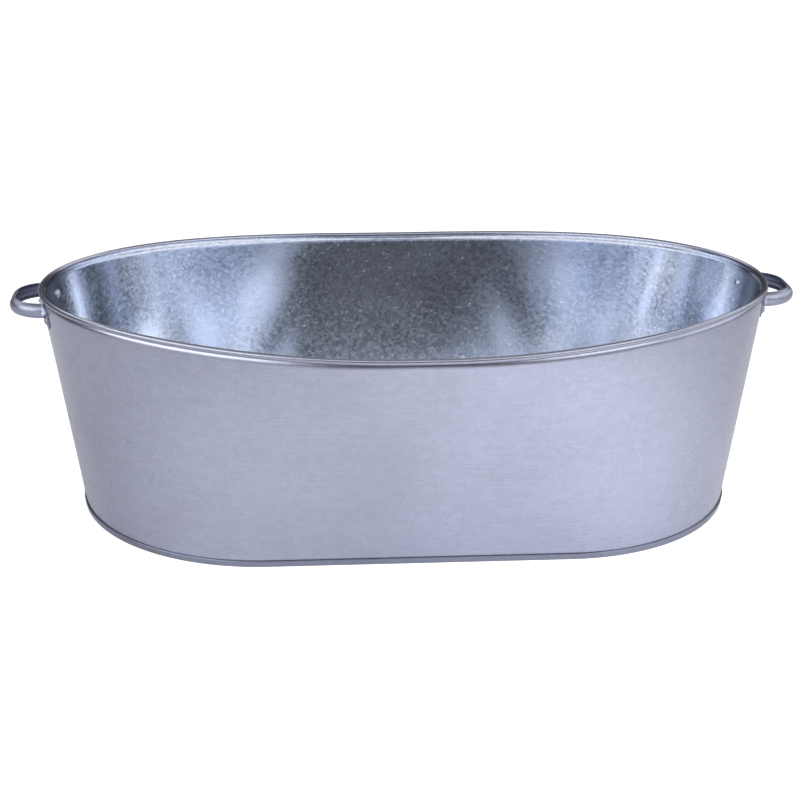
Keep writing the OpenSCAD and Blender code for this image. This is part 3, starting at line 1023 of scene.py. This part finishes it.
@dataclass
class StrapHandle:
    """A half-round pressed strap with a flat foot at each end."""

    form: TubForm
    finish: bpy.types.Material
    rivet_span: float = 112 * MM
    leg_inset: float = 4 * MM
    reach: float = 31 * MM
    drop: float = 18.5 * MM
    half_height: float = 8.25 * MM
    depth: float = 7 * MM
    thickness: float = 1.2 * MM
    corner: float = 39 * MM
    rivet_drop: float = 8.5 * MM
    foot_width: float = 17 * MM
    foot_gap: float = 0.05 * MM
    foot_sides: int = 64
    flare: float = 1.0 * MM
    flare_length: float = 3 * MM
    ease: float = 1.6
    grip_columns: int = 6
    arc_columns: int = 24
    leg_columns: int = 12
    rows: int = 20
    strap_bevel: float = 0.3 * MM
    foot_bevel: float = 0.25 * MM
    smooth_angle: float = 40.0

    @property
    def strap_height(self) -> float:
        """Height of the strap's centre line."""
        return self.form.rim_height - self.drop

    @property
    def rivet_height(self) -> float:
        """Height of the rivets."""
        return self.strap_height - self.rivet_drop

    def foot_frame(self) -> Matrix:
        """Returns the frame of the foot at +Y on the right end's wall."""
        angle = self.form.angle_on_wall(self.rivet_span / 2, self.rivet_height)
        return self.form.wall_frame(angle, self.rivet_height)

    def strap(self) -> bpy.types.Object:
        """Presses one half of the strap out of a blank, from the long axis to the foot at +Y.

        Returns:
            The half strap, still without thickness.
        """
        crown_x = self.form.rim_length / 2 + self.reach
        crown_y = self.rivet_span / 2 - self.leg_inset
        grip = crown_y - self.corner
        foot = self.foot_frame().inverted()
        pull = foot.to_3x3() @ Vector((-1.0, 0.0, 0.0))
        arc_start, arc_end = self.grip_columns, self.grip_columns + self.arc_columns
        columns = arc_end + self.leg_columns
        round_to = (self.depth**2 + self.half_height**2) / (2 * self.depth)
        middle = round_to - self.thickness / 2
        half_open = math.acos((round_to - self.depth) / middle)
        blank = Bench.blank("half_strap", columns, self.rows)

        def press(along: float, across: float) -> Vector:
            """Returns the place of one point of the blank."""
            step = round(along * columns)
            turn = 2 * half_open * (across - 0.5)
            depth, rise = middle * math.cos(turn) - round_to, middle * math.sin(turn)
            if step <= arc_start:
                y = grip * step / self.grip_columns
                return Vector((crown_x + depth, y, self.strap_height + rise))
            if step <= arc_end:
                bent = math.pi / 2 * (step - arc_start) / self.arc_columns
                radius = self.corner + depth
                return Vector(
                    (
                        crown_x - self.corner + radius * math.cos(bent),
                        grip + radius * math.sin(bent),
                        self.strap_height + rise,
                    )
                )
            start = Vector((crown_x - self.corner, crown_y + depth, self.strap_height + rise))
            travel = (self.foot_gap + self.thickness - (foot @ start).x) / pull.x
            eased = 1 - (1 - (step - arc_end) / self.leg_columns) ** self.ease
            point = start - Vector((travel * eased, 0.0, 0.0))
            near = max(0.0, 1 - (travel * (1 - eased)) / self.flare_length) ** 2 * self.flare
            return point + Vector((0.0, near * math.cos(turn), near * math.sin(turn)))

        Bench.form(blank, press)
        return blank

    def plate(self) -> bpy.types.Object:
        """Cuts the tongue-shaped foot at +Y, bevels it and lays it on the wall.

        Returns:
            The foot.
        """
        Bench.clear()
        half = self.foot_width / 2
        bpy.ops.mesh.primitive_circle_add(vertices=self.foot_sides, radius=half, fill_type="NGON")
        plate = Bench.name("foot_plate")
        rise = self.rivet_drop + self.half_height - half
        Bench.pick(plate, lambda place: place.y > -TOUCH)
        bpy.ops.transform.translate(value=(0.0, rise, 0.0))
        bpy.ops.object.mode_set(mode="OBJECT")
        inner_side = half - self.leg_inset - self.depth - self.thickness
        Bench.pick(plate, lambda place: place.x < -TOUCH and place.y > rise - TOUCH)
        bpy.ops.transform.translate(value=(inner_side, 0.0, 0.0))
        bpy.ops.object.mode_set(mode="OBJECT")
        Bench.coat(plate, self.finish, self.finish)
        Bench.modify(plate, "SOLIDIFY", thickness=self.thickness, offset=1.0)
        Bench.bevel(plate, self.foot_bevel)
        upright = Matrix(((0, 0, 1, self.foot_gap), (1, 0, 0, 0), (0, 1, 0, 0), (0, 0, 0, 1)))
        Bench.settle(plate, self.foot_frame() @ upright)
        return plate

    def build(self) -> dict[str, bpy.types.Object]:
        """Builds both handles.

        Returns:
            The CAD node that each piece stands for, and the piece.
        """
        strap = self.strap()
        Bench.coat(strap, self.finish, self.finish)
        Bench.modify(strap, "MIRROR", use_axis=(False, True, False), use_mirror_merge=True, merge_threshold=TOUCH)
        Bench.weld(strap, outwards=True)
        Bench.thicken(strap, self.thickness)
        Bench.bevel(strap, self.strap_bevel)
        foot = self.plate()
        other = Bench.copy(foot, "foot_plate_other")
        Bench.flip(other)
        right = Bench.join([strap, foot, other])
        right.name = right.data.name = "right_strap_handle"
        Bench.smooth(right, self.smooth_angle)
        return {"handle_right": right, "handle_left": Bench.opposite(right, "left_strap_handle")}


@dataclass
class Rivets:
    """The rivets of both handles: a domed head on each side of the wall, and the shank between them."""

    handle: StrapHandle
    finish: bpy.types.Material
    shank: float = 5 * MM
    outer_head: tuple[float, float] = (9 * MM, 2.6 * MM)
    inner_head: tuple[float, float] = (10.5 * MM, 2.8 * MM)
    seat: float = 0.1 * MM
    head_bevel: float = 0.3 * MM
    head_corner: float = 25.0
    sides: int = 48
    rings: int = 64
    shank_sides: int = 32

    def head(self, width: float, height: float) -> bpy.types.Object:
        """Cuts a domed head out of a ball, with its flat face on Z = 0.

        Args:
            width: The head's diameter.
            height: The head's height.

        Returns:
            The head.
        """
        radius = (width * width / 4 + height * height) / (2 * height)
        Bench.clear()
        bpy.ops.mesh.primitive_uv_sphere_add(
            segments=self.sides, ring_count=self.rings, radius=radius, location=(0, 0, height - radius)
        )
        head = Bench.name("rivet_head")
        Bench.take(head)
        bpy.ops.object.transform_apply(location=True, rotation=True, scale=True)
        bpy.ops.object.mode_set(mode="EDIT")
        bpy.ops.mesh.select_all(action="SELECT")
        bpy.ops.mesh.bisect(plane_co=(0, 0, 0), plane_no=(0, 0, 1), clear_inner=True, use_fill=True)
        bpy.ops.object.mode_set(mode="OBJECT")
        Bench.bevel(head, self.head_bevel, self.head_corner)
        return head

    def rivet(self) -> bpy.types.Object:
        """Builds one rivet whose axis is Z, with the wall's outer face at Z = 0."""
        outer = self.handle.foot_gap + self.handle.thickness + self.seat
        inner = -self.handle.form.sheet - self.seat
        top = self.head(*self.outer_head)
        Bench.settle(top, Matrix.Translation((0, 0, outer)))
        low = self.head(*self.inner_head)
        Bench.settle(low, Matrix.Translation((0, 0, inner)) @ Matrix.Rotation(math.pi, 4, "X"))
        Bench.clear()
        middle = (0, 0, (outer + inner) / 2)
        bpy.ops.mesh.primitive_cylinder_add(
            vertices=self.shank_sides, radius=self.shank / 2, depth=outer - inner, location=middle
        )
        pin = Bench.name("rivet_shank")
        Bench.settle(pin, Matrix.Identity(4))
        return Bench.join([top, low, pin])

    def build(self) -> dict[str, bpy.types.Object]:
        """Builds two pairs of rivets.

        Returns:
            The CAD node that each piece stands for, and the piece.
        """
        first = self.rivet()
        Bench.coat(first, self.finish)
        frame = self.handle.foot_frame()
        across = Matrix(((0, 0, 1, 0), (0, 1, 0, 0), (-1, 0, 0, 0), (0, 0, 0, 1)))
        Bench.settle(first, frame @ across)
        second = Bench.copy(first, "rivet_other")
        Bench.flip(second)
        right = Bench.join([first, second])
        right.name = right.data.name = "right_rivet_pair"
        Bench.smooth(right, self.handle.smooth_angle)
        return {"rivets_right": right, "rivets_left": Bench.opposite(right, "left_rivet_pair")}


# ---- Studio ----


@dataclass(frozen=True)
class SoftBox:
    """A soft light of the studio, as a patch of the sky. All but its strength is in degrees."""

    azimuth: float
    elevation: float
    half_width: float
    half_height: float
    strength: float
    soft: float


@dataclass(frozen=True)
class FloorLamp:
    """A soft lamp over the floor, with its power in watts."""

    name: str
    x: float
    y: float
    power: float


@dataclass
class Studio:
    """A pale floor, soft light all round and a camera.

    The lens and the sensor are in millimetres, and the haze is the strength of the sky between the soft boxes.
    """

    distance: float = 2.2145
    elevation: float = math.radians(18.35)
    azimuth: float = math.radians(-4.149)
    roll: float = math.radians(0.186)
    target: tuple[float, float, float] = (-5.5 * MM, 0.0, 101.57 * MM)
    lens: float = 88.146
    sensor: float = 36.0
    haze: float = 0.07
    boxes: tuple[SoftBox, ...] = (
        SoftBox(0, 36, 200, 9, 1.5, 4),
        SoftBox(-90, 53, 95, 10, 1.2, 6),
        SoftBox(-148, 22, 34, 7, 3.5, 4),
        SoftBox(-140, 8, 30, 8, 1.0, 4),
        SoftBox(-45, 22, 20, 7, 2.8, 4),
        SoftBox(12, 15, 34, 7, 1.8, 4),
        SoftBox(-25, 4, 40, 6, 0.4, 3),
        SoftBox(0, 82, 200, 18, 0.4, 6),
    )
    lamps: tuple[FloorLamp, ...] = (
        FloorLamp("floor_lamp_right", 0.50, -0.6, 7.5),
        FloorLamp("floor_lamp_left", -0.38, -0.6, 3.0),
        FloorLamp("floor_lamp_back", 0.0, 0.85, 3.0),
    )
    lamp_height: float = 0.7
    lamp_size: float = 0.4
    floor_size: float = 60.0
    floor_drop: float = 0.2 * MM
    floor_colour: tuple[float, float, float] = (0.62, 0.62, 0.63)
    floor_glow: float = 0.55

    def camera(self) -> bpy.types.Object:
        """Sets up the camera and returns it."""
        right = Vector((math.cos(self.azimuth), math.sin(self.azimuth), 0))
        back = Vector(
            (
                math.sin(self.azimuth) * math.cos(self.elevation),
                -math.cos(self.azimuth) * math.cos(self.elevation),
                math.sin(self.elevation),
            )
        )
        up = back.cross(right)
        x_axis = right * math.cos(self.roll) + up * math.sin(self.roll)
        y_axis = up * math.cos(self.roll) - right * math.sin(self.roll)
        place = Vector(self.target) + back * self.distance
        data = bpy.data.cameras.new("studio_camera")
        data.lens, data.sensor_width = self.lens, self.sensor
        data.clip_start, data.clip_end = 0.01, 100.0
        camera = bpy.data.objects.new("studio_camera", data)
        camera.matrix_world = Matrix.Translation(place) @ Matrix((x_axis, y_axis, back)).transposed().to_4x4()
        bpy.context.scene.collection.objects.link(camera)
        bpy.context.scene.camera = camera
        return camera

    def floor(self) -> bpy.types.Object:
        """Lays the pale floor, which glows for the camera alone, and returns it."""
        Bench.clear()
        bpy.ops.mesh.primitive_plane_add(size=self.floor_size, location=(0, 0, -self.floor_drop))
        floor = Bench.name("pale_floor")
        Bench.settle(floor, Matrix.Identity(4))
        material = bpy.data.materials.new("pale_paper")
        material.use_nodes = True
        recipe = Recipe(material.node_tree)
        seen = recipe.node("ShaderNodeLightPath", output="Is Camera Ray")
        recipe.principled(
            {
                "Base Color": (*self.floor_colour, 1.0),
                "Roughness": 0.95,
                "Specular IOR Level": 0.1,
                "Emission Color": recipe.tint(seen, (0.0, 0.0, 0.0), (1.0, 1.0, 1.0)),
                "Emission Strength": self.floor_glow,
            }
        )
        Bench.coat(floor, material)
        return floor

    def light(self) -> None:
        """Fills the world with a faint haze and the soft boxes. The camera itself sees plain white."""
        world = bpy.data.worlds.new("soft_studio")
        bpy.context.scene.world = world
        world.use_nodes = True
        recipe = Recipe(world.node_tree)
        x, y, z = recipe.split(recipe.node("ShaderNodeTexCoord", output="Generated"))
        degree = 180 / math.pi
        height = z.calculate("ARCSINE", z) * degree
        around = y.calculate("ARCTAN2", y, x) * degree
        glow = self.haze
        for box in self.boxes:
            shifted = around - box.azimuth
            aside = abs(shifted.calculate("WRAP", shifted, 180.0, -180.0))
            patch = 1 - aside.rise(box.half_width - box.soft, box.half_width + box.soft)
            patch = patch * height.within(box.elevation, box.half_height, box.soft)
            glow = patch * box.strength + glow
        seen = recipe.node("ShaderNodeLightPath", output="Is Camera Ray")
        strength = glow * (1 - seen) + seen
        shader = recipe.node("ShaderNodeBackground", {}, {"Color": (1.0, 1.0, 1.0, 1.0), "Strength": strength})
        recipe.node("ShaderNodeOutputWorld", {}, {"Surface": shader})

    def floor_lamps(self) -> None:
        """Hangs soft lamps over the floor, which neither the camera nor any reflection shows."""
        for lamp in self.lamps:
            data = bpy.data.lights.new(lamp.name, "AREA")
            data.size, data.energy = self.lamp_size, lamp.power
            stand = bpy.data.objects.new(lamp.name, data)
            stand.location = (lamp.x, lamp.y, self.lamp_height)
            stand.visible_glossy = stand.visible_camera = False
            bpy.context.scene.collection.objects.link(stand)

    @staticmethod
    def colour() -> None:
        """Keeps the picture's tones as they are lit."""
        scene = bpy.context.scene
        scene.view_settings.view_transform = "Standard"
        scene.view_settings.look = "None"


def main() -> None:
    """Builds the trough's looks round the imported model."""
    logging.basicConfig(level=logging.INFO, format="%(name)s: %(message)s")
    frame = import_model()
    studio = Studio()
    studio.camera()
    form = TubForm()
    finishes = Finishes()
    handle = StrapHandle(form, finishes.strap.make())
    builders = (
        WallSheets(form, finishes.outside.make(), finishes.inside.make(), finishes.roll.make()),
        BasePan(form, finishes.hem.make(), finishes.pan.make()),
        handle,
        Rivets(handle, finishes.rivet.make()),
    )
    for builder in builders:
        for node, piece in builder.build().items():
            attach(piece, "root")
            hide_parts(node)
            LOG.info("%s stands for %s, with %d faces", piece.name, node, len(piece.data.polygons))
    wire = frame["nodes"]["rim_wire"]
    wire.data.materials.clear()
    Bench.coat(wire, finishes.wire.make())
    studio.floor()
    studio.light()
    studio.floor_lamps()
    studio.colour()


if __name__ == "__main__":
    main()
